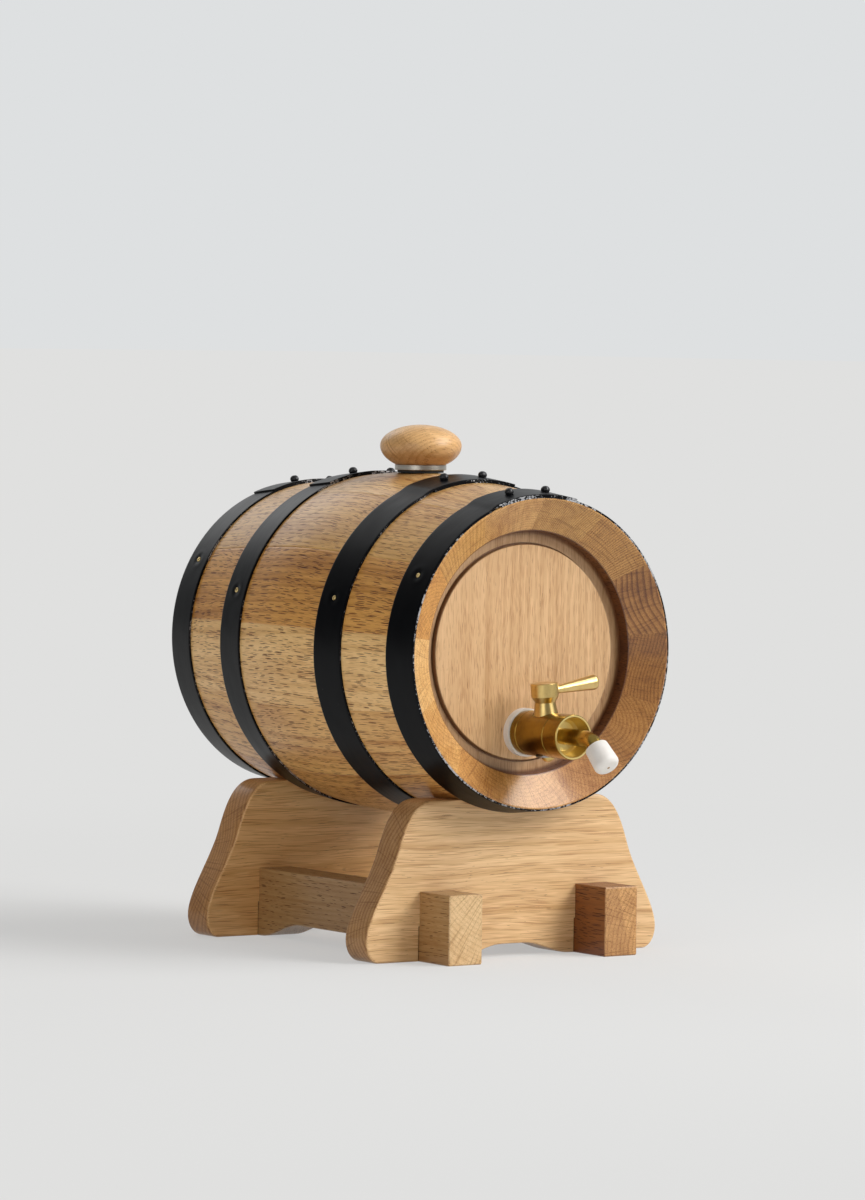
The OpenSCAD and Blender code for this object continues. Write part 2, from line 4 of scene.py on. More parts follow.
import bmesh
import bpy
import numpy as np
from mathutils import Matrix, Vector


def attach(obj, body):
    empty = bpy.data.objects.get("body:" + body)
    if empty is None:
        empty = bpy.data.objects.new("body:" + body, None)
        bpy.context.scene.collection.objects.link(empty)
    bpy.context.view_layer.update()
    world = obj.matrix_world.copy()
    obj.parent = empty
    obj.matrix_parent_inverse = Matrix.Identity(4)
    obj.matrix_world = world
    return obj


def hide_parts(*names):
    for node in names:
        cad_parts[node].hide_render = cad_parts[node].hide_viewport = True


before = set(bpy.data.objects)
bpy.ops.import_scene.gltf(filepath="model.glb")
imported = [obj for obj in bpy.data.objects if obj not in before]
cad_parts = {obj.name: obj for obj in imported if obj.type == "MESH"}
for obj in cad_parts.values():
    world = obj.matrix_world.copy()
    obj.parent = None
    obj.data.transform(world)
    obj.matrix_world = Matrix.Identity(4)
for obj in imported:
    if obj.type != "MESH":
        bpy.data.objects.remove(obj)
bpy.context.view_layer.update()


# ---- Camera ----
# It stands at the front left, a little above the cask's axis, and looks with a long lens
# that is turned slightly clockwise.
cask_y, axis_height = 0.032122, 0.167643
azimuth, elevation, roll = (math.radians(a) for a in (-34.74, 2.62, 0.70))
distance, shift_right, shift_up = 3.379, 0.009, 0.024
back = Vector((math.sin(azimuth) * math.cos(elevation),
               -math.cos(azimuth) * math.cos(elevation), math.sin(elevation)))
level = Vector((math.cos(azimuth), math.sin(azimuth), 0))
upright = back.cross(level)
right = math.cos(roll) * level + math.sin(roll) * upright
above = math.cos(roll) * upright - math.sin(roll) * level
lens_data = bpy.data.cameras.new("camera")
lens_data.lens = 180.3
lens_data.sensor_width = 36
lens_data.clip_end = 100
camera = bpy.data.objects.new("camera", lens_data)
spot = Vector((0, cask_y, axis_height)) + distance * back + shift_right * right + shift_up * above
camera.matrix_world = Matrix.Translation(spot) @ Matrix((right, above, back)).transposed().to_4x4()
bpy.context.scene.collection.objects.link(camera)
bpy.context.scene.camera = camera
bpy.context.scene.view_settings.view_transform = "Standard"


# ---- Studio ----
# A pale seamless floor that runs into a pale backdrop, two large soft lamps at the front right,
# weak ones at the left and behind, and a dim sky, brighter overhead and at the backdrop.
class Socket:
    """A shader value. Python's operators on it add the Math nodes that they stand for."""

    def __init__(self, finish, output):
        self.finish, self.output = finish, output

    def math(self, operation, *others):
        values = dict(enumerate((self, *others)))
        return self.finish.add("Math", {"operation": operation}, values)

    def __add__(self, other):
        return self.math("ADD", other)

    def __sub__(self, other):
        return self.math("SUBTRACT", other)

    def __rsub__(self, other):
        return self.finish.add("Math", {"operation": "SUBTRACT"}, {0: other, 1: self})

    def __mul__(self, other):
        return self.math("MULTIPLY", other)

    def __truediv__(self, other):
        return self.math("DIVIDE", other)

    def __rtruediv__(self, other):
        return self.finish.add("Math", {"operation": "DIVIDE"}, {0: other, 1: self})

    def __neg__(self):
        return self.math("MULTIPLY", -1)

    __radd__, __rmul__ = __add__, __mul__


class Finish:
    """One material, or the sky. Its add() makes any node: settings first, then sockets by name
    or number."""

    def __init__(self, name, sky=False):
        kinds = bpy.data.worlds if sky else bpy.data.materials
        self.material = kinds.new(name)
        self.material.use_nodes = True
        self.tree = self.material.node_tree
        self.tree.nodes.clear()

    def add(self, kind, settings=None, values=None, output=0):
        node = self.tree.nodes.new("ShaderNode" + kind)
        for key, value in (settings or {}).items():
            setattr(node, key, value)
        for key, value in (values or {}).items():
            socket = node.inputs[key]
            if isinstance(value, Socket):
                self.tree.links.new(value.output, socket)
            elif socket.type == "RGBA":
                socket.default_value = (*value, 1)
            else:
                socket.default_value = value
        return Socket(self, node.outputs[output])

    def join(self, x, y, z):
        return self.add("CombineXYZ", {}, {0: x, 1: y, 2: z})

    def place(self, output="Object"):
        """Object coordinates, or another output of Texture Coordinate, as three values."""
        whole = self.add("TexCoord", {}, {}, output)
        return [self.add("SeparateXYZ", {}, {0: whole}, axis) for axis in (0, 1, 2)]

    def rays(self, *kinds):
        """1 for a ray of one of these kinds, 0 for any other."""
        return sum(self.add("LightPath", {}, {}, "Is %s Ray" % kind) for kind in kinds)

    def fade(self, value, low, high):
        """0 below low, 1 above high, and a smooth step between them."""
        return self.add("MapRange", {"interpolation_type": "SMOOTHSTEP"},
                        {0: value, 1: low, 2: high, 3: 0.0, 4: 1.0})

    def blend(self, share, first, second):
        """The first colour where share is 0, the second where it is 1."""
        return self.add("Mix", {"data_type": "RGBA"}, {0: share, 6: first, 7: second}, 2)

    def tint(self, share, colour, factor):
        """The colour multiplied by factor, as far as share says."""
        return self.add("Mix", {"data_type": "RGBA", "blend_type": "MULTIPLY"},
                        {0: share, 6: colour, 7: factor}, 2)

    def noise(self, x, y, z, detail=0.0, rough=0.5):
        return self.add("TexNoise", {}, {"Vector": self.join(x, y, z), "Scale": 1.0,
                                         "Detail": detail, "Roughness": rough})

    def spots(self, scale, detail, rough=0.5):
        """Noise that is the same along all axes, with about scale spots in a metre."""
        return self.noise(*(axis * scale for axis in self.place()), detail, rough)

    def bump(self, height, distance, strength):
        return self.add("Bump", {}, {"Height": height, "Distance": distance,
                                     "Strength": strength})

    def finish_off(self, **values):
        """The shader itself: values are Principled sockets, with _ for a space."""
        sockets = {key.replace("_", " "): value for key, value in values.items()}
        return self.show(self.add("BsdfPrincipled", {}, sockets))

    def show(self, shader, kind="OutputMaterial"):
        """Ends the material with a shader and returns it."""
        node = self.tree.nodes.new("ShaderNode" + kind)
        self.tree.links.new(shader.output, node.inputs["Surface"])
        return self.material


def length(*parts):
    """The square root of the sum of the parts' squares."""
    return sum((part * part for part in parts[1:]), parts[0] * parts[0]).math("SQRT")


def paint(red, green, blue):
    """A colour as it shows, 0 to 255, turned into the linear values that shaders use."""
    shown = np.array([red, green, blue]) / 255
    linear = np.where(shown <= 0.04045, shown / 12.92, ((shown + 0.055) / 1.055) ** 2.4)
    return tuple(float(v) for v in linear)


floor_mesh = bpy.data.meshes.new("studio_floor")
floor_mesh.from_pydata([(-40, -40, 0), (40, -40, 0), (40, 60, 0), (-40, 60, 0)], [],
                       [(0, 1, 2, 3)])
floor = bpy.data.objects.new("studio_floor", floor_mesh)
bpy.context.scene.collection.objects.link(floor)
paper = Finish("studio_paper")
x, y, z = paper.place()
near = 1 - paper.fade(length(x, y), 0.25, 1.1)
lit = paper.add("BsdfDiffuse", {}, {"Color": (0.80, 0.80, 0.79)})
glow = paper.add("Emission", {}, {"Color": paint(224, 224, 223)})
seen = paper.add("MixShader", {}, {0: near * 0.42, 1: glow, 2: lit})
eye = paper.rays("Camera", "Glossy", "Transmission")
floor_mesh.materials.append(paper.show(paper.add("MixShader", {}, {0: eye, 1: lit, 2: seen})))

sky = Finish("sky", sky=True)
x, y, z = sky.place("Generated")
ceiling = sky.fade(z, 0.40, 0.90)
backdrop = sky.fade(x * 0.57 + y * 0.82, 0.52, 0.78) * sky.fade(-z, -0.85, -0.45)
light = sky.add("Background", {}, {"Color": (1, 1, 1),
                                   "Strength": ceiling * 0.25 + backdrop * 0.50 + 0.13})
seen = sky.add("Background", {}, {"Color": paint(222, 224, 225)})
eye = sky.rays("Camera") + sky.rays("Glossy", "Transmission") * backdrop
bpy.context.scene.world = sky.show(sky.add("MixShader", {}, {0: eye, 1: light, 2: seen}),
                                   "OutputWorld")


def soft_lamp(name, place, aim, width, height, power):
    """A flat area lamp at place, turned so that its face looks at aim."""
    data = bpy.data.lights.new(name, "AREA")
    data.shape, data.size, data.size_y, data.energy = "RECTANGLE", width, height, power
    lamp = bpy.data.objects.new(name, data)
    lamp.visible_camera = False
    lamp.location = place
    lamp.rotation_euler = (Vector(aim) - Vector(place)).to_track_quat("-Z", "Y").to_euler()
    bpy.context.scene.collection.objects.link(lamp)


soft_lamp("key_lamp", (1.6, -2.4, 1.7), (0, 0, 0.15), 1.5, 1.5, 62)
soft_lamp("high_lamp", (1.7, -1.05, 2.25), (0, 0, 0.1), 1.5, 1.5, 38)
soft_lamp("left_lamp", (-2.2, -1.3, 0.8), (0, 0, 0.1), 1.6, 1.6, 13)
soft_lamp("rear_lamp", (0.1, 2.2, 1.6), (0, 0, 0.2), 1.4, 0.9, 6)


# ---- Staves ----
# Thirteen oak staves, 18 mm thick, bent to the cask's curve and held edge to edge by the
# hoops. Each is cut from another part of a log, so tone, rings and rays differ. The joint
# between the first and the last is on top, and the bung's hole is bored through it.
half_length, bilge_radius, chime_radius = 0.1214, 0.096, 0.085
curve_ease, stave_thickness, mean_radius = 0.025, 0.018, 0.09
bilge_fall = (bilge_radius - chime_radius) / (math.hypot(half_length, curve_ease) - curve_ease)
quarter_span, chime_span = (0.0378, 0.0604), (0.0988, half_length)
croze_inner, croze_outer, croze_radius = 0.0964, 0.1016, 0.071
lip_radius, bevel_length, end_flat = 0.067, 0.0123, 0.0008
bung_y, bung_seat = cask_y - 0.002, axis_height + 0.0955
bore_radius, seat_radius = 0.0105, 0.0155
bore_start, bore_end = axis_height + 0.05, bung_seat + 0.004
crease = 32


def cask_radius(s):
    """Outer radius at distance s from the middle: the bilge radius, less a share of a
    hyperbola that is round in the middle and nearly straight towards the ends. Under a hoop
    the line is straight from edge to edge."""
    def curve(t):
        return bilge_radius - bilge_fall * (np.hypot(t, curve_ease) - curve_ease)
    away = np.abs(np.asarray(s, float))
    radius = curve(away)
    for low, high in (quarter_span, chime_span):
        under = (away >= low) & (away <= high)
        chord = curve(low) + (curve(high) - curve(low)) * (away - low) / (high - low)
        radius = np.where(under, chord, radius)
    return radius


def lay_round(radius, angle, s):
    """Points of the cask at a radius, an angle from +X and a distance s towards the front."""
    radius, angle, s = np.broadcast_arrays(radius, angle, s)
    return np.stack([radius * np.cos(angle), cask_y - s,
                     axis_height + radius * np.sin(angle)], -1)


def circle(steps, first=0):
    """The angles of a circle's points, evenly spaced, where first is in steps."""
    return (np.arange(steps) + first) * (2 * math.pi / steps)


def make_piece(name, grids, sharp=crease, edge=None):
    """One mesh of closed skins. The rows of each grid of points are loops: quads join them,
    and the first and the last loop get a face of their own."""
    points, faces, start = [], [], 0
    for grid in grids:
        rows, columns = grid.shape[:2]
        index = start + np.arange(rows * columns).reshape(rows, columns)
        here, there = index[:-1], index[1:]
        quads = np.stack([here, np.roll(here, -1, 1), np.roll(there, -1, 1), there], -1)
        faces += quads.reshape(-1, 4).tolist()
        faces += [index[0][::-1].tolist(), index[-1].tolist()]
        points.append(grid.reshape(-1, 3))
        start += rows * columns
    mesh = bpy.data.meshes.new(name)
    mesh.from_pydata(np.concatenate(points).tolist(), [], faces)
    if edge is not None:
        worn = mesh.attributes.new("edge", "FLOAT", "POINT")
        worn.data.foreach_set("value", np.asarray(edge, np.float32).ravel())
    shell = bmesh.new()
    shell.from_mesh(mesh)
    bmesh.ops.recalc_face_normals(shell, faces=shell.faces)
    shell.to_mesh(mesh)
    shell.free()
    mesh.shade_smooth()
    mesh.set_sharp_from_angle(angle=math.radians(sharp))
    piece = bpy.data.objects.new(name, mesh)
    bpy.context.scene.collection.objects.link(piece)
    return piece


def coat(piece, material):
    """Gives a piece one material in place of any that it has."""
    piece.data.materials.clear()
    piece.data.materials.append(material)


def toward(parts, direction):
    """How far three shader values reach in a direction: the sum of their products with it."""
    terms = [part * share for part, share in zip(parts, direction) if share]
    return sum(terms[1:], terms[0])


def oak_finish(name, grain, pale, brown, pith, ring, pores, seed, stain_and_shade, end=(0, 1, 0),
               end_dark=0.55, warp=0.004, contrast=1.0, dash=85, rings=0.35, fine=0.35,
               sheen=0.0, stain_and_shade_tone=(0.24, 0.13, 0.06)):
    """Solid oak under satin varnish, cut anywhere. grain gives, for a Finish, the place in the
    plank: along, across and deep, in metres. Growth rings, each as wide as ring and wandering
    by warp, are circles round a pith that lies at pith = (distance, angle) from the plank's
    middle. Big pores start each ring, and rays run outwards from the pith. pores is how wide
    the pores are, dash how many follow each other in a metre, and fine how dark the finest
    are. end is the direction that the end grain faces, end_dark how dark it is, rings how
    clearly it shows the rings, and sheen how much more varnish it carries. The darkening
    function gives, for a Finish, how far the colour is darkened towards its tone. Callers use
    it for real stains and for painted shade."""
    f = Finish(name)
    along, across, deep = grain(f)
    distance, angle = pith
    reach = across * math.cos(angle) + deep * math.sin(angle) + distance
    aside = deep * math.cos(angle) - across * math.sin(angle)
    wander = f.noise(along * 7 + seed, across * 34, deep * 34, 1.0) - 0.5
    drift = f.noise(along * 2.3 - seed, across * 14, deep * 14) - 0.5
    from_pith = length(reach, aside)
    turns = (from_pith + wander * warp + drift * (2.5 * warp) + along * 0.01) / ring
    turns = turns + (f.noise(from_pith * 160, seed, 0.0) - 0.5) * 1.1
    season = turns.math("FRACT")
    early = (1 - f.fade(season, 0.10, 0.62)) * f.fade(season, 0.0, 0.05)

    def tubes(x, y, z, randomness):
        return f.add("TexVoronoi", {"feature": "F1"}, {
            "Vector": f.join(x, y, z), "Scale": 1.0, "Randomness": randomness}, "Distance")

    # Pores are long thin tubes along the grain: dashes on a side, dots on an end.
    wide_tubes, fine_tubes = 1450, 2300  # side by side in a metre
    wave = (f.noise(along * 18 + seed, across * 25, deep * 25) - 0.5) * 0.006
    from_wide = tubes(along * dash + seed, (across + wave) * wide_tubes,
                      (deep + wave) * wide_tubes, 0.85)
    from_fine = tubes(along * (dash * 1.5), (across + wave) * fine_tubes + seed,
                      deep * fine_tubes, 1.0)
    pore = 1 - f.fade(from_wide - (early * 0.04 + 0.215 * pores), 0.0, 0.05)
    fine_pore = 1 - f.fade(from_fine, 0.22, 0.38)
    # Rays are thin ribbons that stand along the grain and run away from the pith.
    turn = aside.math("ARCTAN2", reach) * max(distance, 0.02)
    ray = f.fade(f.noise(along * 60, turn * 1050 + seed, from_pith * 34), 0.60, 0.72)
    fibre = f.noise(along * 22 + seed, across * 1500, deep * 1500, 2.0, 0.6)
    streak = f.noise(along * 5 - seed, (across + wave) * 190, deep * 190, 3.0, 0.6)
    cloud = f.noise(along * 9, across * 30 + seed, deep * 30, 1.0)
    ends = f.fade(toward(f.place("Normal"), end).math("ABSOLUTE"), 0.45, 0.8)

    share = early * (1 - ends * (1 - rings)) * (0.24 * contrast)
    share = share + (streak - 0.5) * contrast + (fibre - 0.5) * 0.5
    share = f.fade(share + (cloud - 0.5) * (0.9 * contrast) + 0.36, 0.0, 1.0)
    colour = f.blend(share, pale, brown)
    light_ray = tuple(min(1.0, v * 1.12 + 0.02) for v in pale)
    colour = f.blend(ray * 0.32 * (1 - ends), colour, light_ray)
    colour = f.tint(ray * ends * 0.60, colour, (0.60, 0.50, 0.35))
    colour = f.tint(fine_pore * fine, colour, (0.52, 0.34, 0.18))
    colour = f.tint(pore * (0.96 - ends * 0.34), colour, (0.20, 0.095, 0.035))
    colour = f.tint(early * ends * (0.7 * rings * contrast), colour, (0.60, 0.47, 0.30))
    colour = f.tint(ends * end_dark, colour, (0.76, 0.645, 0.46))
    # Darkening towards the tone: a real stain on some pieces, painted shade on others.
    colour = f.tint(stain_and_shade(f), colour, stain_and_shade_tone)
    height = fibre * 0.25 - pore - fine_pore * 0.25 - early * 0.2
    return f.finish_off(Base_Color=colour,
                        Roughness=0.40 + pore * 0.25 + fibre * 0.10 + ends * 0.06,
                        Coat_Weight=ends * sheen + 0.22, Coat_Roughness=0.18,
                        Normal=f.bump(height, 0.00016, 0.6))


def stave_grain(middle):
    """The plank of a stave whose middle is at that angle: along its length, round the cask,
    and out from its curved outer face, because a stave is bent after it is sawn."""
    def grain(f):
        x, y, z = f.place()
        height = z - axis_height
        s = y - cask_y
        out = x * math.cos(middle) + height * math.sin(middle)
        aside = height * math.cos(middle) - x * math.sin(middle)
        fall = length(s, curve_ease) - curve_ease
        return (s, aside.math("ARCTAN2", out) * mean_radius,
                length(out, aside) + fall * bilge_fall - bilge_radius)
    return grain


def stave_section():
    """The loop of a stave's long section as (radius, s): out along the bilge curve, down the
    bevel inside each end, past the groove for the head, and back along the inner curve."""
    marks = np.array([*quarter_span, *chime_span])
    marks = np.concatenate([-marks[::-1], marks])
    outer = np.concatenate([np.linspace(start, stop, count)[:-1] for start, stop, count in
                            zip(marks, marks[1:], (7, 11, 7, 23, 7, 11, 7))] + [marks[-1:]])
    end = np.array([(chime_radius - end_flat, half_length),
                    (lip_radius, half_length - bevel_length), (lip_radius, croze_outer),
                    (croze_radius, croze_outer), (croze_radius, croze_inner)])
    inner = np.linspace(croze_inner, -croze_inner, 31)
    return np.concatenate([np.column_stack([cask_radius(outer), outer]), end,
                           np.column_stack([cask_radius(inner) - stave_thickness, inner]),
                           end[::-1] * (1, -1)])


def bore_for_bung(stave):
    """Takes two upright cylinders out of a stave: the bung's hole, and a flat seat round it.
    Their points are half a step round, so that none lies on the joint of two staves."""
    drills, angle = [], circle(96, 0.5)
    for low, radius in ((bore_start, bore_radius), (bung_seat, seat_radius)):
        levels = [np.column_stack([radius * np.cos(angle), bung_y + radius * np.sin(angle),
                                   np.full(len(angle), z)]) for z in (low, bore_end)]
        drills.append(make_piece("drill", [np.stack(levels)]))
    for drill in drills:
        painted_mark = stave.modifiers.new("bung_hole", "BOOLEAN")
        painted_mark.operation, painted_mark.solver, painted_mark.object = "DIFFERENCE", "EXACT", drill
    bpy.context.view_layer.update()
    bored = bpy.data.meshes.new_from_object(
        stave.evaluated_get(bpy.context.evaluated_depsgraph_get()))
    stave.modifiers.clear()
    stave.data = bored
    bored.set_sharp_from_angle(angle=math.radians(crease))
    for drill in drills:
        bpy.data.objects.remove(drill)


def from_axis(f, axis=axis_height):
    """Distance from a level line along y at that height: the cask's axis, or the tap's."""
    x, y, z = f.place()
    return length(x, z - axis)


def lip_painted_shade(f):
    """The lip between the bevel and the head is painted dark: painted shade in the recess before
    the head.
    """
    # Painted shade on the lip wall and everything inside it.
    return (1 - f.fade(from_axis(f), 0.0671, 0.0678)) * 0.96


section = stave_section()
stave_step = 2 * math.pi / 13
# For each stave: pale colour, brown colour, (distance, angle) of the pith, ring width, pores,
# how clearly the ends show the rings, and how dark the ends are. The ends of staves 2 to 5,
# on the left, are set much paler than the others: partly the wood's own tone, partly painted
# light and shade, as that side of the chime bevel faces the key lamp and the rest faces away.
stave_looks = [
    (paint(226, 180, 112), paint(180, 124, 60), (0.060, 1.3), 0.0016, 0.9, 0.3, 0.50),
    (paint(222, 172, 97), paint(184, 128, 55), (0.090, 3.0), 0.0030, 0.9, 0.5, 0.25),
    (paint(222, 162, 81), paint(170, 108, 33), (0.055, 2.2), 0.0026, 1.1, 0.3, 0.05),
    (paint(246, 202, 135), paint(212, 158, 87), (0.048, 1.57), 0.0034, 1.0, 0.25, 0.10),
    (paint(232, 182, 109), paint(192, 132, 59), (0.120, 1.2), 0.0026, 1.0, 0.3, 0.20),
    (paint(224, 170, 97), paint(180, 120, 49), (0.080, 1.9), 0.0028, 1.0, 0.25, 0.60),
    (paint(236, 188, 125), paint(200, 146, 81), (0.070, 1.4), 0.0022, 0.9, 0.25, 0.90),
    (paint(214, 160, 93), paint(172, 114, 47), (0.110, 0.7), 0.0020, 1.1, 0.3, 0.70),
    (paint(196, 144, 76), paint(150, 98, 36), (0.034, 1.5), 0.0020, 1.0, 0.5, 0.60),
    (paint(188, 136, 70), paint(142, 92, 34), (0.085, -1.5), 0.0018, 1.1, 0.7, 0.70),
    (paint(194, 142, 76), paint(140, 90, 34), (0.034, -1.62), 0.0026, 0.9, 1.0, 0.70),
    (paint(212, 164, 94), paint(174, 122, 54), (0.110, 0.1), 0.0016, 1.1, 0.8, 0.60),
    (paint(218, 174, 102), paint(174, 122, 54), (0.075, 0.25), 0.0014, 1.0, 0.8, 0.60),
]
# The outer arrises are eased, so that a fine line shows between two staves.
ease, ease_depth, flat_start = 0.0003, 0.00016, 0.012
for number, (pale, brown, pith, ring, pores, rings, end_dark) in enumerate(stave_looks, 1):
    first = math.pi / 2 + (number - 1) * stave_step
    steps = np.concatenate([[0, ease / mean_radius],
                            np.linspace(flat_start, stave_step - flat_start, 12),
                            [stave_step - ease / mean_radius, stave_step]])
    dip = np.zeros_like(steps)
    dip[[0, -1]] = ease_depth
    outside = section[:, 0] > cask_radius(section[:, 1]) - 0.0005
    grid = lay_round(section[:, 0] - dip[:, None] * outside, (first + steps)[:, None],
                     section[:, 1])
    node = "stave_%02d" % number
    stave = make_piece("oak_" + node, [grid])
    if number in (1, 13):
        bore_for_bung(stave)
    coat(stave, oak_finish(
        node + "_oak", stave_grain(first + stave_step / 2), pale, brown, pith, ring,
        pores=1.12 * pores, rings=rings, end_dark=end_dark, seed=3.7 * number,
        contrast=1.2, dash=70, fine=0.65, sheen=0.5, stain_and_shade=lip_painted_shade))
    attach(stave, "cask")
    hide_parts(node)


# ---- Heads ----
# Two round oak boards let into the staves' grooves, the grain upright, with a raised middle
# and a lowered border, painted darker partly as stain and partly as painted shade. The front
# one is bored for the tap.
def head_grain(shift):
    """The plank of a head: along its height, across its width, and through its thickness."""
    def grain(f):
        x, y, z = f.place()
        return z - axis_height, x + shift, y - cask_y
    return grain


def border_stain_and_shade(f):
    """The lowered border, the cut where it starts and its outer edge are painted darker than the
    face: partly a darker stain, partly painted shade in the lowered border, the painted shadow
    of the groove at the cut, and painted shade in the corner by the lip."""
    radius = from_axis(f)
    # A thin dark ring at the cut, partly the painted shadow of its groove; the outer edge is
    # painted shade by the lip.
    painted_mark = f.fade(radius, 0.0586, 0.0592) * (1 - f.fade(radius, 0.0597, 0.0603))
    edge = f.fade(radius, 0.0640, 0.0664)
    return f.fade(radius, 0.0590, 0.0596) * 0.34 + painted_mark * 0.5 + edge * 0.62


for node, shift, pith in (("front_head", 0.012, (0.075, 1.2)),
                          ("rear_head", -0.02, (0.09, 1.8))):
    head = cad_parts[node]
    coat(head, oak_finish(
        node + "_oak", head_grain(shift), paint(220, 180, 132), paint(184, 138, 88), pith,
        0.0040, end=(0, 0, 1), pores=0.30, seed=shift * 900, warp=0.006, contrast=0.75,
        stain_and_shade=border_stain_and_shade, dash=60, fine=0.6))


# ---- Hoops ----
# Four strips of mild steel, bent round the cask on their bevel, lapped and riveted on top and
# painted black. The paint is worn to bright metal along the edges, and the strips are dented
# at the tacks.
hoop_thickness = 0.0011
lap_half = math.radians(17)
lap_middles = {1: math.radians(92.3), -1: math.radians(94)}
climb_start, climb_turn = 2 * math.pi - 0.10, 0.09
dent_depth, dent_radius = 0.00045, 0.0026
rim_height, rim_radius, rim_width = 0.00012, 0.0045, 0.002
round_over, worn_width = 0.022, 0.014  # shares of a strip's width


def hoop_strip(low, high, side, tacks):
    """A strip's rounded section carried once round the cask and on over its own start: the
    height grows by one thickness where it climbs onto the lap. At a tack it falls by a bell
    curve, inside a slight rim. Returns the points, and 1 at an edge of the strip, falling to
    0 near it."""
    over = np.concatenate([[0, 0.014], np.linspace(0.04, 0.96, 24), [0.986, 1]])
    across = np.concatenate([over, np.ones(3), over[::-1], np.zeros(3)])
    inwards = np.minimum(across, 1 - across)
    rising = np.array([0.25, 0.5, 0.75])
    up = np.concatenate([np.ones(len(over)), rising[::-1], np.zeros(len(over)), rising])
    up = np.where(up == 1, 0.80 + 0.20 * np.sqrt(np.clip(inwards / round_over, 0, 1)), up)
    start = lap_middles[side] + side * lap_half
    travels = side * (start - np.radians(tacks)) % (2 * math.pi)
    near_tack = np.linspace(-0.075, 0.075, 25)
    turns = np.concatenate([np.linspace(0, 2 * math.pi + 2 * lap_half, 420)]
                           + [travel + near_tack for travel in travels])
    turns = np.unique(np.round(turns, 4))
    climb = np.clip((turns - climb_start) / climb_turn, 0, 1)
    climb = climb * climb * (3 - 2 * climb)
    s = low + (high - low) * across
    radius = cask_radius(low) + (cask_radius(high) - cask_radius(low)) * across
    lift = hoop_thickness * (up + climb[:, None])
    for travel in travels:
        off = np.hypot((radius.mean() * (turns - travel))[:, None], s - (low + high) / 2)
        dent = (dent_depth * np.exp(-(off / dent_radius) ** 2)
                - rim_height * np.exp(-((off - rim_radius) / rim_width) ** 2))
        lift = lift - dent * (up > 0.5)
    edge = np.clip(1 - inwards / worn_width, 0, 1) * np.ones((len(turns), 1))
    return lay_round(radius + lift, (start - side * turns)[:, None], side * s), edge


def hoop_finish(name, seed, wear):
    """Semi-gloss black paint over steel: soft waves from hand bending, fine dust, and bright
    metal where noise, the wear and the nearness of an edge agree."""
    f = Finish(name)
    x, y, z = f.place()
    edge = f.add("Attribute", {"attribute_name": "edge"}, {}, "Fac")
    chip = f.noise(x * 900, y * 900 + seed, z * 900, 3.0, 0.6)
    wide = f.noise(x * 38 + seed, y * 38, z * 38, 2.0)
    worn = f.fade(edge * wear + (chip - 0.5) * 1.1 + (wide - 0.5) * 0.9, 0.54, 0.72)
    scuffs = f.noise(x * 60, y * 700 + seed, z * 60, 2.0)
    colour = f.blend(worn, paint(2, 3, 6), paint(176, 176, 178))
    dust = f.fade(f.spots(900, 1.0), 0.80, 0.86)
    colour = f.blend(dust * 0.4, colour, paint(120, 118, 114))
    height = f.spots(55, 1.0) + chip * 0.05 - worn * 0.12
    return f.finish_off(Base_Color=colour, Metallic=worn * 0.85,
                        Roughness=0.28 + scuffs * 0.14 + worn * 0.1,
                        Specular_IOR_Level=0.11, Normal=f.bump(height, 0.0005, 0.5))


# Name, side of the middle, edges from the middle, angles of its tacks from +X, wear.
hoop_rows = (("front_chime_hoop", 1, chime_span, (30, 150), 0.54),
             ("front_quarter_hoop", 1, quarter_span, (18, 162), 0.47),
             ("rear_quarter_hoop", -1, quarter_span, (18, 162), 0.47),
             ("rear_chime_hoop", -1, chime_span, (30, 150), 0.47))
for node, side, (low, high), tacks, wear in hoop_rows:
    grid, edge = hoop_strip(low, high, side, tacks)
    hoop = make_piece("painted_" + node, [grid], sharp=50, edge=edge)
    coat(hoop, hoop_finish(node + "_paint", side * (low * 90), wear))
    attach(hoop, "cask")
    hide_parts(node)


# ---- Rivets and tacks ----
# Each lap is held by two steel rivets with low, hammered heads, painted with the hoop. Small
# brass tacks through the hoops keep them from slipping.
def turned(profile, steps=48):
    """A profile of (radius, height) carried round the z axis; both ends lie close to it."""
    radius, height = np.array(profile, float).T[:, :, None]
    angle = circle(steps)
    return np.stack(np.broadcast_arrays(radius * np.cos(angle), radius * np.sin(angle),
                                        height), -1)


def arc(middle, half_width, half_height, first, last, count):
    """Points on an ellipse, from one angle to another: the middle, plus half the width times
    the angle's cosine and half the height times its sine."""
    angle = np.linspace(first, last, count)
    return np.column_stack([middle[0] + half_width * np.cos(angle),
                            middle[1] + half_height * np.sin(angle)])


def stand(points, base, *directions):
    """Points with their x, y and z laid along three directions, from a base."""
    return np.array(base) + points @ np.array(directions)


def on_cask(points, degrees, s, radius):
    """Stands turned points on the cask: their z axis points away from the cask's axis."""
    angle = math.radians(degrees)
    outward = np.array([math.cos(angle), 0, math.sin(angle)])
    return stand(points, np.array([0, cask_y - s, axis_height]) + radius * outward,
                 (-math.sin(angle), 0, math.cos(angle)), (0, 1, 0), outward)


# A rivet's head bulges out over its foot, is widest low down and is hammered flat on top.
tip, sunk = 0.0003, -0.0012
rivet_profile = [(tip, sunk), (0.0015, sunk), (0.0015, -0.0001), (0.0021, 0),
                 (0.0022, 0.0004), (0.0025, 0.0008), (0.0025, 0.0015), (0.0023, 0.0021),
                 (0.0019, 0.0027), (0.0014, 0.0031), (0.0008, 0.0033), (tip, 0.0033)]
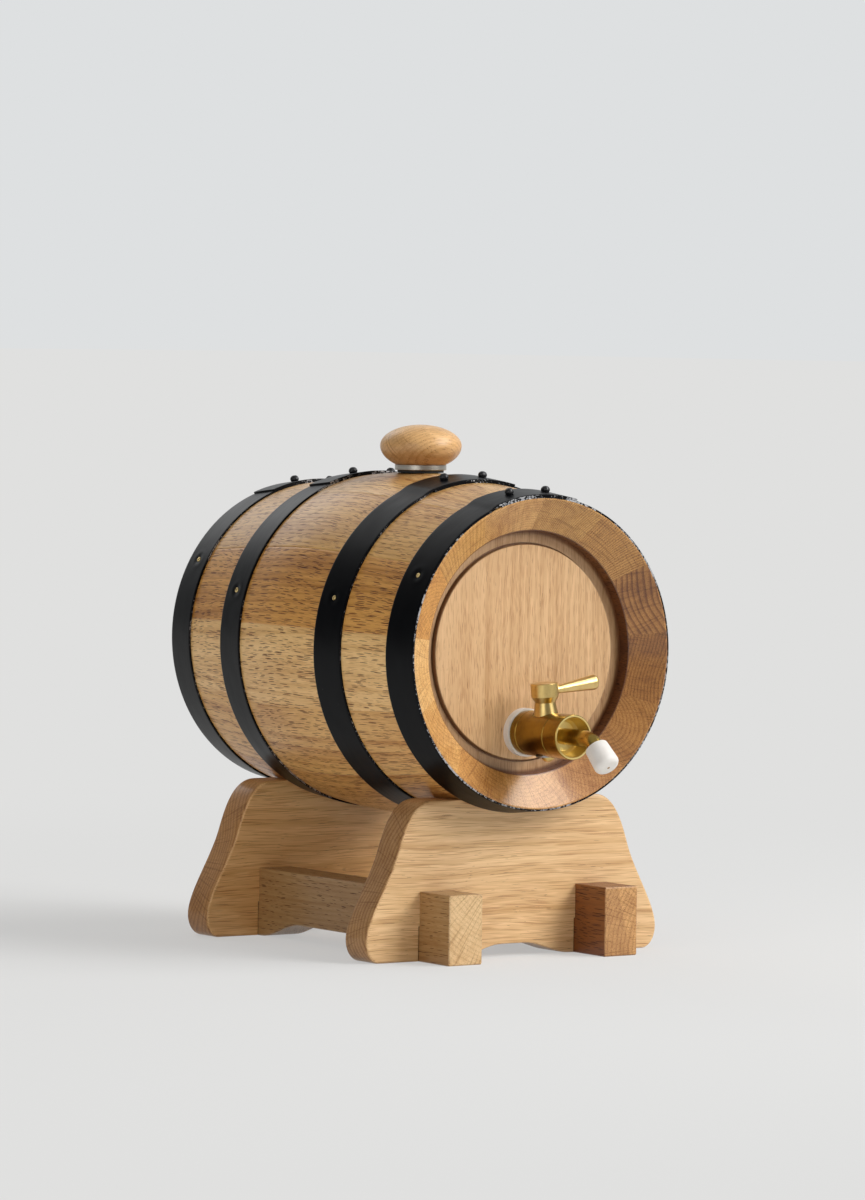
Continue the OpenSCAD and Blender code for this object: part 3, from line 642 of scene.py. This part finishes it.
# A tack has a thin shank and a low head, whose top is an arc with a slightly flat crown.
tack_radius, tack_height, crown = 0.0014, 0.00075, 0.4
tack_profile = [(tip, sunk), (tack_radius * 0.5, sunk), (tack_radius * 0.5, 0),
                (tack_radius * 0.94, 0),
                *arc((tack_radius * crown, 0.25 * tack_height), tack_radius * (1 - crown),
                     0.75 * tack_height, 0, math.pi / 2, 12)[:-1],
                (tack_radius * crown * 0.55, tack_height), (tip, tack_height)]
rivet_middles, rivet_turn, ripple_depth = {1: 92.3, -1: 89}, 7.8, 0.05
rivet_grids, tack_grids = [], []
rng = np.random.default_rng(5)
for node, side, (low, high), tacks, wear in hoop_rows:
    middle = side * (low + high) / 2
    seat = float(cask_radius(low) + cask_radius(high)) / 2
    for turn in (-rivet_turn, rivet_turn):
        shape = turned(rivet_profile)
        ripple = 1 + ripple_depth * np.sin(3 * circle(48) + rng.uniform(0, 6))
        shape[..., :2] *= ripple[:, None]
        rivet_grids.append(on_cask(shape, rivet_middles[side] + turn, middle,
                                   seat + 2 * hoop_thickness))
    for turn in tacks:
        tack_grids.append(on_cask(turned(tack_profile, 32), turn, middle,
                                  seat + hoop_thickness - dent_depth))
rivets = make_piece("painted_rivets", rivet_grids, sharp=60)
f = Finish("rivet_paint")
pits = f.spots(700, 2.0)
chips = f.fade(f.spots(380, 2.0), 0.66, 0.72)
coat(rivets, f.finish_off(
    Base_Color=f.blend(chips, paint(26, 26, 28), paint(92, 92, 94)), Metallic=chips * 0.7,
    Roughness=0.30 + pits * 0.2, Normal=f.bump(pits, 0.0003, 0.6)))
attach(rivets, "cask")
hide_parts("hoop_rivets")

tacks_piece = make_piece("brass_tacks", tack_grids, sharp=60)
f = Finish("tack_brass")
grime = f.spots(900, 2.0)
coat(tacks_piece, f.finish_off(
    Base_Color=f.blend(f.fade(grime, 0.5, 0.75), paint(240, 212, 146), paint(140, 108, 60)),
    Metallic=1.0, Roughness=0.28 + grime * 0.25, Normal=f.bump(grime, 0.0002, 0.5)))
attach(tacks_piece, "cask")
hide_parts("hoop_tacks")


# ---- Bung ----
# A black rubber plug with a flange, a spun steel collar, and a knob turned from oak with the
# grain lying across the cask, all held by one screw from below.
knob_foot, knob_radius, knob_height, knob_belly = 0.0048, 0.0229, 0.0223, 0.0105
knob_pith_height = bung_seat + 0.016


def knob_profile():
    """A screw hole from below, an ellipse below the belly that is cut off at the collar, and
    a flatter half ellipse above it, whose crown is closed by a tiny flat."""
    hole, hole_depth, foot = 0.002, 0.012, 0.0142
    lower = knob_belly / math.sqrt(1 - (foot / knob_radius) ** 2)
    belly = (0, knob_belly)
    return [(hole, hole_depth), (hole, 0), (foot - 0.0006, 0),
            *arc(belly, knob_radius, lower, -math.asin(knob_belly / lower), 0, 22)[:-1],
            *arc(belly, knob_radius, knob_height - knob_belly, 0, math.pi / 2, 30)[:-1],
            (0.0004, knob_height)]


def knob_grain(f):
    """The plank of the knob: its length lies across the cask."""
    x, y, z = f.place()
    return x, y - bung_y, z - knob_pith_height


def underside_painted_shade(f):
    """The knob's underside is painted darker than its crown: painted shade where it faces down."""
    return f.fade(-f.place("Normal")[2], 0.0, 0.8) * 0.40


knob = make_piece("turned_knob", [turned(knob_profile(), 96)
                                  + (0, bung_y, bung_seat + knob_foot)])
coat(knob, oak_finish(
    "knob_oak", knob_grain, paint(238, 192, 132), paint(198, 146, 84), (0.03, -2.2), 0.0021,
    end=(1, 0, 0), pores=0.55, end_dark=0.35, seed=8.1, rings=0.2, stain_and_shade=underside_painted_shade))
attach(knob, "bung")
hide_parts("bung_knob")

f = Finish("collar_steel")
x, y, z = f.place()
spun = f.noise(x * 30, y * 30, z * 9000, 2.0, 0.6)
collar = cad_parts["bung_collar"]
coat(collar, f.finish_off(
    Base_Color=f.blend(spun, paint(196, 190, 180), paint(150, 144, 134)), Metallic=1.0,
    Roughness=0.26 + spun * 0.16, Normal=f.bump(spun, 0.00006, 0.5)))

f = Finish("black_rubber")
grit = f.spots(1600, 2.0)
rubber = f.finish_off(Base_Color=f.blend(grit, paint(22, 22, 22), paint(38, 37, 36)),
                      Roughness=0.62 + grit * 0.15, Normal=f.bump(grit, 0.0001, 0.4))
f = Finish("plain_steel")
wear = f.spots(500, 3.0)
steel = f.finish_off(Base_Color=f.blend(wear, paint(178, 178, 180), paint(140, 140, 142)),
                     Metallic=1.0, Roughness=0.3 + wear * 0.2,
                     Normal=f.bump(wear, 0.0001, 0.4))
# The tap's seals and washer are of the same rubber and steel.
for node, material, slot in (("bung_plug", rubber, "black_rubber"),
                             ("valve_seals", rubber, "black_rubber"),
                             ("bung_screw", steel, "screw_steel"),
                             ("valve_washer", steel, "screw_steel")):
    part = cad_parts[node]
    coat(part, material)


# ---- Tap ----
# A turned brass tap: a shank through the head with a white washer, a round body with two
# turned rings and an open bell, a valve plug worked by a hub and a tapered lever, and a bent
# spout tube that leaves the bell. The spout has a white cap.
tap_height = axis_height - 0.0438
tap_lean = math.radians(4.5)
tap_aside = (math.cos(tap_lean), 0, math.sin(tap_lean))
valve_axis = (-math.sin(tap_lean), 0, math.cos(tap_lean))


def brass_finish(name, bright, dull, axis, rough, painted_glint=None):
    """Satin brass. Tool marks run round the axis that the piece was turned on, and tarnish
    gathers in clouds. The last argument gives, for a Finish, where the colour is painted pale
    as a painted reflection of the light, and where the brass is rougher."""
    f = Finish(name)
    tool = f.noise(toward(f.place(), axis) * 5200, 0.0, 0.0, 3.0, 0.7)
    cloud, smear = f.spots(120, 3.0, 0.6), f.spots(500, 2.0, 0.6)
    tarnish = f.fade(cloud * 0.7 + smear * 0.3 + (tool - 0.5) * 0.25, 0.38, 0.68)
    colour = f.blend(tarnish * 0.5, bright, dull)
    roughness = rough + tool * 0.10 + tarnish * 0.07
    if painted_glint:
        # A paler colour painted where the bell shows a reflection of the light.
        painted_mark = painted_glint(f)
        colour = f.blend(painted_mark, colour, paint(232, 208, 138))
        roughness = roughness + painted_mark * 0.14
    return f.finish_off(Base_Color=colour, Metallic=1.0, Roughness=roughness,
                        Normal=f.bump(tool, 0.00005, 0.5))


def inside_bell(f):
    """The bell's inside, its rim and the floors of the turned rings: there the brass is painted
    paler, as a painted reflection of the light.
    """
    return 1 - f.fade(from_axis(f, tap_height), 0.0119, 0.0121)


body_brass = brass_finish("body_brass", paint(160, 128, 54), paint(112, 84, 28), (0, 1, 0),
                          0.13, painted_glint=inside_bell)
hub_brass = brass_finish("hub_brass", paint(218, 190, 124), paint(186, 154, 88), valve_axis,
                         0.24)
lever_brass = brass_finish("lever_brass", paint(228, 198, 134), paint(200, 164, 98),
                           (1, 0, 0), 0.26)
spout_brass = brass_finish("spout_brass", paint(190, 160, 84), paint(142, 112, 46),
                           (0, 1, -1), 0.14)
for node, material, slot in (("tap_body", body_brass, "body_brass"),
                             ("spout_tube", spout_brass, "body_brass"),
                             ("handle_hub", hub_brass, "handle_brass"),
                             ("handle_lever", lever_brass, "handle_brass"),
                             ("valve_plug", hub_brass, "handle_brass")):
    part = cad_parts[node]
    coat(part, material)

# The screw that holds the valve from below has a domed head.
valve_y, ball = -0.094178, 0.003977
dome_tip, dome_foot, shank, shank_top = -0.0151, -0.0119, 0.0016, -0.0041
tip_angle, foot_angle = 0.08 - math.pi / 2, 1.3741 - math.pi / 2
screw_profile = [(0.0002, dome_tip),
                 *arc((0, dome_tip + ball), ball, ball, tip_angle, foot_angle, 16),
                 (shank, dome_foot), (shank, shank_top), (0.0002, shank_top)]
screw = make_piece("tap_screw", [stand(turned(screw_profile), (0, valve_y, tap_height),
                                       tap_aside, (0, 1, 0), valve_axis)])
coat(screw, hub_brass)
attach(screw, "tap_handle")
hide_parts("valve_screw")

f = Finish("white_silicone")
mottle, fine = f.spots(260, 3.0), f.spots(1800, 2.0)
# A small brown mark in the middle of the cap's end is left from moulding.
mark_place = (0.0011, -0.1497, 0.1093)
mark = length(*(axis - at for axis, at in zip(f.place(), mark_place)))
colour = f.blend(mottle, paint(238, 235, 230), paint(226, 220, 212))
silicone = f.finish_off(Base_Color=f.tint(1 - f.fade(mark, 0.0006, 0.0010), colour,
                                          (0.45, 0.27, 0.10)),
                        Roughness=0.46 + fine * 0.12, Normal=f.bump(fine, 0.00008, 0.4))
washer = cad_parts["tap_washer"]
coat(washer, silicone)

# The cap's profile starts at the corner of the spout's bend: heights run from there outwards,
# 45 degrees down and forwards, across the direction that the tap leans to.
bend_corner = (0, -0.13518, tap_height)
outwards = (0.055479, -0.707107, -0.704927)
tube_radius, tube_end = 0.00455, 0.0184
mouth, mouth_radius, cap_end, cap_radius, cap_round = 0.006, 0.006532, 0.0206, 0.0071, 0.003
chamfer = 0.0003
cap_profile = [(tip, tube_end), (tube_radius - chamfer, tube_end),
               (tube_radius, tube_end - chamfer), (tube_radius, mouth),
               (mouth_radius - 0.0004, mouth), (mouth_radius - 0.0001, mouth + 0.0001),
               (mouth_radius, mouth + 0.0004), (cap_radius * 0.96, mouth + 0.0060),
               *arc((cap_radius - cap_round, cap_end - cap_round), cap_round, cap_round,
                    0, math.pi / 2, 14), (tip, cap_end)]
cap = make_piece("silicone_cap", [stand(turned(cap_profile, 72), bend_corner, tap_aside,
                                        np.cross(outwards, tap_aside), outwards)], sharp=50)
coat(cap, silicone)
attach(cap, "outlet_cap")
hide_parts("spout_cap")


# ---- Cradle boards ----
# Two oak boards, 21 mm thick, sawn to a hollow-sided outline with a saddle for the cask and a
# shallow arch below. Their edges are rounded, and two slots take the rails.
cradle_y = cask_y - 0.0069
board_height, board_thickness, board_middle, edge_round = 0.0875, 0.021, 0.080, 0.0016
rail_inside, rail_width, rail_height, slot_depth = 0.0413, 0.0219, 0.0382, 0.0191
rest_gap, slot_gap = 0.0003, 0.00025


def bezier(points, steps):
    """A cubic curve through its first point towards its last, which is left out."""
    t = np.linspace(0, 1, steps, endpoint=False)[:, None]
    a, b, c, d = (np.array(p, float) for p in points)
    return (1 - t) ** 3 * a + 3 * (1 - t) ** 2 * t * b + 3 * (1 - t) * t * t * c + t ** 3 * d


def rise(t):
    """A smooth step made of half a cosine."""
    return 0.5 - 0.5 * np.cos(math.pi * np.clip(t, 0, 1))


def board_outline(saddle_radius):
    """Half of the outline from the arch's middle to the saddle's lowest point, then its mirror
    image: arch, slot for the rail, foot, hollow flank, shoulder, top and saddle. Also returns
    how much of the edge rounding each point takes."""
    inner, outer = rail_inside - slot_gap, rail_inside + rail_width + slot_gap
    arch_half, arch_rise, arch_ease = 0.039, 0.0068, 0.032
    foot_half, foot_width, foot_rise = 0.0979, 0.009, 0.012
    waist, top_half = (0.0782, 0.058), 0.0545
    x = np.linspace(0, arch_half, 21)
    arch = np.column_stack([x, arch_rise * rise((arch_half - x) / arch_ease)])
    wall = np.array([(0, 0), (0, 0.006), (0, 0.0125), (0, slot_depth), (0.007, slot_depth)])
    slot = np.concatenate([wall + (inner, 0), wall[::-1] * (-1, 1) + (outer, 0)])
    foot = arc((foot_half - foot_width, foot_rise), foot_width, foot_rise,
               -math.pi / 2, 0, 13)[:-1]
    flank = bezier([(foot_half, foot_rise), (foot_half, 0.024), (0.0839, 0.0418), waist], 24)
    shoulder = bezier([waist, (0.0742, 0.0701), (0.069, board_height),
                       (top_half, board_height)], 24)
    edge = math.sqrt(saddle_radius ** 2 - (axis_height - board_height) ** 2)
    top = np.column_stack([np.linspace(top_half, edge, 5)[:-1], np.full(4, board_height)])
    around = np.linspace(math.asin(edge / saddle_radius), 0, 25)
    saddle = np.column_stack([saddle_radius * np.sin(around),
                              axis_height - saddle_radius * np.cos(around)])
    half = np.concatenate([arch, slot, foot, flank, shoulder, top, saddle])
    share = np.concatenate([np.full(len(arch), 0.6), np.full(len(slot), 0.12),
                            np.ones(len(foot) + len(flank) + len(shoulder)),
                            np.linspace(1, 0.5, len(top)), np.full(len(saddle), 0.25)])
    return (np.concatenate([half, half[::-1][1:-1] * (-1, 1)]),
            np.concatenate([share, share[::-1][1:-1]]))


def inset(loop, distance):
    """Moves each point of a counter-clockwise loop inwards, so that both lines that meet in it
    move by the distance: along the sum of their normals, over one plus the normals' product."""
    along = np.roll(loop, -1, 0) - loop
    along /= np.linalg.norm(along, axis=1, keepdims=True)
    after = np.column_stack([-along[:, 1], along[:, 0]])
    before = np.roll(after, 1, 0)
    shared = 1 + (before * after).sum(1)
    return loop + (before + after) * (distance / shared)[:, None]


def rounded_layers(depth, radius):
    """Layers through a slab's thickness as (place, inset): a quarter round, the flat edge, and
    a quarter round, each face starting with a small flat ring."""
    face_ring = (0, radius + 0.0006)
    near = np.array([face_ring, *arc((radius, radius), -radius, -radius, 0, math.pi / 2, 7)])
    return np.concatenate([near, [(0.35 * depth, 0), (0.65 * depth, 0)],
                           near[::-1] * (-1, 1) + (depth, 0)])


def board_grain(middle):
    """The plank of a board: along its width, up from about its middle height, and through
    its thickness."""
    middle_height = 0.045

    def grain(f):
        x, y, z = f.place()
        return x, z - middle_height, y - middle
    return grain


def sawn_edge(f):
    """The sawn edges of a board, where its end grain shows, take the varnish darker."""
    return (1 - f.fade(f.place("Normal")[1].math("ABSOLUTE"), 0.4, 0.7)) * 0.35


for node, side, pith, pale, brown, seed in (
        ("front_board", -1, (0.060, 1.45), paint(240, 202, 150), paint(194, 144, 86), 2.3),
        ("rear_board", 1, (0.050, -1.5), paint(246, 200, 138), paint(202, 148, 84), 7.7)):
    middle = cradle_y + side * board_middle
    face = middle - board_thickness / 2
    layers = []
    for at, by in rounded_layers(board_thickness, edge_round):
        loop, share = board_outline(float(cask_radius(face + at - cask_y)) + rest_gap)
        loop = inset(loop, by * share)
        layers.append(np.column_stack([loop[:, 0], np.full(len(loop), face + at), loop[:, 1]]))
    board = make_piece("oak_" + node, [np.stack(layers)], sharp=40)
    coat(board, oak_finish(
        node + "_oak", board_grain(middle), pale, brown, pith, 0.0030, end=(1, 0, 0),
        pores=0.28, end_dark=0.9, seed=seed, warp=0.007, contrast=0.8, dash=22, rings=0.9,
        fine=0.8, stain_and_shade=sawn_edge, stain_and_shade_tone=(0.28, 0.13, 0.02)))
    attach(board, "cradle")
    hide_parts(node)


# ---- Cradle rails ----
# Two square-sawn oak rails laid across under the boards, halved into them, with a long shallow
# arch cut from below. Their arrises are only just broken.
rail_half, notch_half, corner_cut, arris, arris_ring = 0.1193, 0.0106, 0.0007, 0.0005, 0.0008


def rail_outline():
    """The side view, counter-clockwise from the front bottom corner, as (y, z) from the
    cradle's middle: arch below, two notches above that take the boards."""
    arch_half, arch_rise, arch_ease = 0.0675, 0.009, 0.040
    y = np.linspace(-arch_half, arch_half, 41)
    arch = np.column_stack([y, arch_rise * rise((arch_half - np.abs(y)) / arch_ease)])
    rear = np.array([(rail_half - corner_cut, 0), (rail_half, corner_cut),
                     (rail_half, rail_height - corner_cut),
                     (rail_half - corner_cut, rail_height)])
    front = rear[::-1] * (-1, 1)
    notch = np.array([(notch_half, rail_height), (notch_half, slot_depth),
                      (-notch_half, slot_depth), (-notch_half, rail_height)])
    return np.concatenate([front[-1:], arch, rear, notch + (board_middle, 0),
                           notch - (board_middle, 0), front[:-1]])


def rail_grain(middle):
    """The plank of a rail: along its length, across its width, and up from about its middle
    height."""
    middle_height = 0.019

    def grain(f):
        x, y, z = f.place()
        return y - cradle_y, x - middle, z - middle_height
    return grain


def rail_ends(f):
    """1 on a rail's two ends, 0 on its long faces."""
    return f.fade(f.place("Normal")[1].math("ABSOLUTE"), 0.45, 0.8)


def shaded_faces_and_heart(f):
    """The right rail's long faces are painted dark, as painted shade on the face that is turned
    away from the key lamp. The rail is cut from the edge of the heartwood: its ends are pale
    above a slanting line."""
    x, y, z = f.place()
    ends = rail_ends(f)
    heart = 1 - f.fade(x + z * 0.2465, 0.0588, 0.0593)
    # Long faces: painted shade; ends: darker below the heartwood line.
    return 0.94 - ends * 0.94 + ends * heart * 0.24


def brown_side(f):
    """The left rail's long faces are browner than its ends."""
    return 0.70 - rail_ends(f) * 0.70


for node, side, pith, pale, brown, pores, seed, rings, stain_and_shade, stain_and_shade_tone in (
        ("left_rail", -1, (0.060, -2.2), paint(234, 202, 154), paint(202, 158, 104),
         0.8, 4.4, 0.3, brown_side, (0.34, 0.20, 0.02)),
        ("right_rail", 1, (0.050, 2.9), paint(224, 176, 116), paint(182, 130, 74),
         1.25, 9.2, 0.4, shaded_faces_and_heart, (0.28, 0.12, 0.0))):
    middle = side * (rail_inside + rail_width / 2)
    layers = []
    for at, by in ((0, arris_ring), (0, arris), (arris, 0), (rail_width - arris, 0),
                   (rail_width, arris), (rail_width, arris_ring)):
        loop = inset(rail_outline(), by)
        layers.append(np.column_stack([np.full(len(loop), middle - rail_width / 2 + at),
                                       cradle_y + loop[:, 0], loop[:, 1]]))
    rail = make_piece("oak_" + node, [np.stack(layers)], sharp=30)
    coat(rail, oak_finish(
        node + "_oak", rail_grain(middle), pale, brown, pith, 0.0026, pores=pores,
        end_dark=0.25, seed=seed, stain_and_shade=stain_and_shade, dash=60, rings=rings, stain_and_shade_tone=stain_and_shade_tone))
    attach(rail, "cradle")
    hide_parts(node)
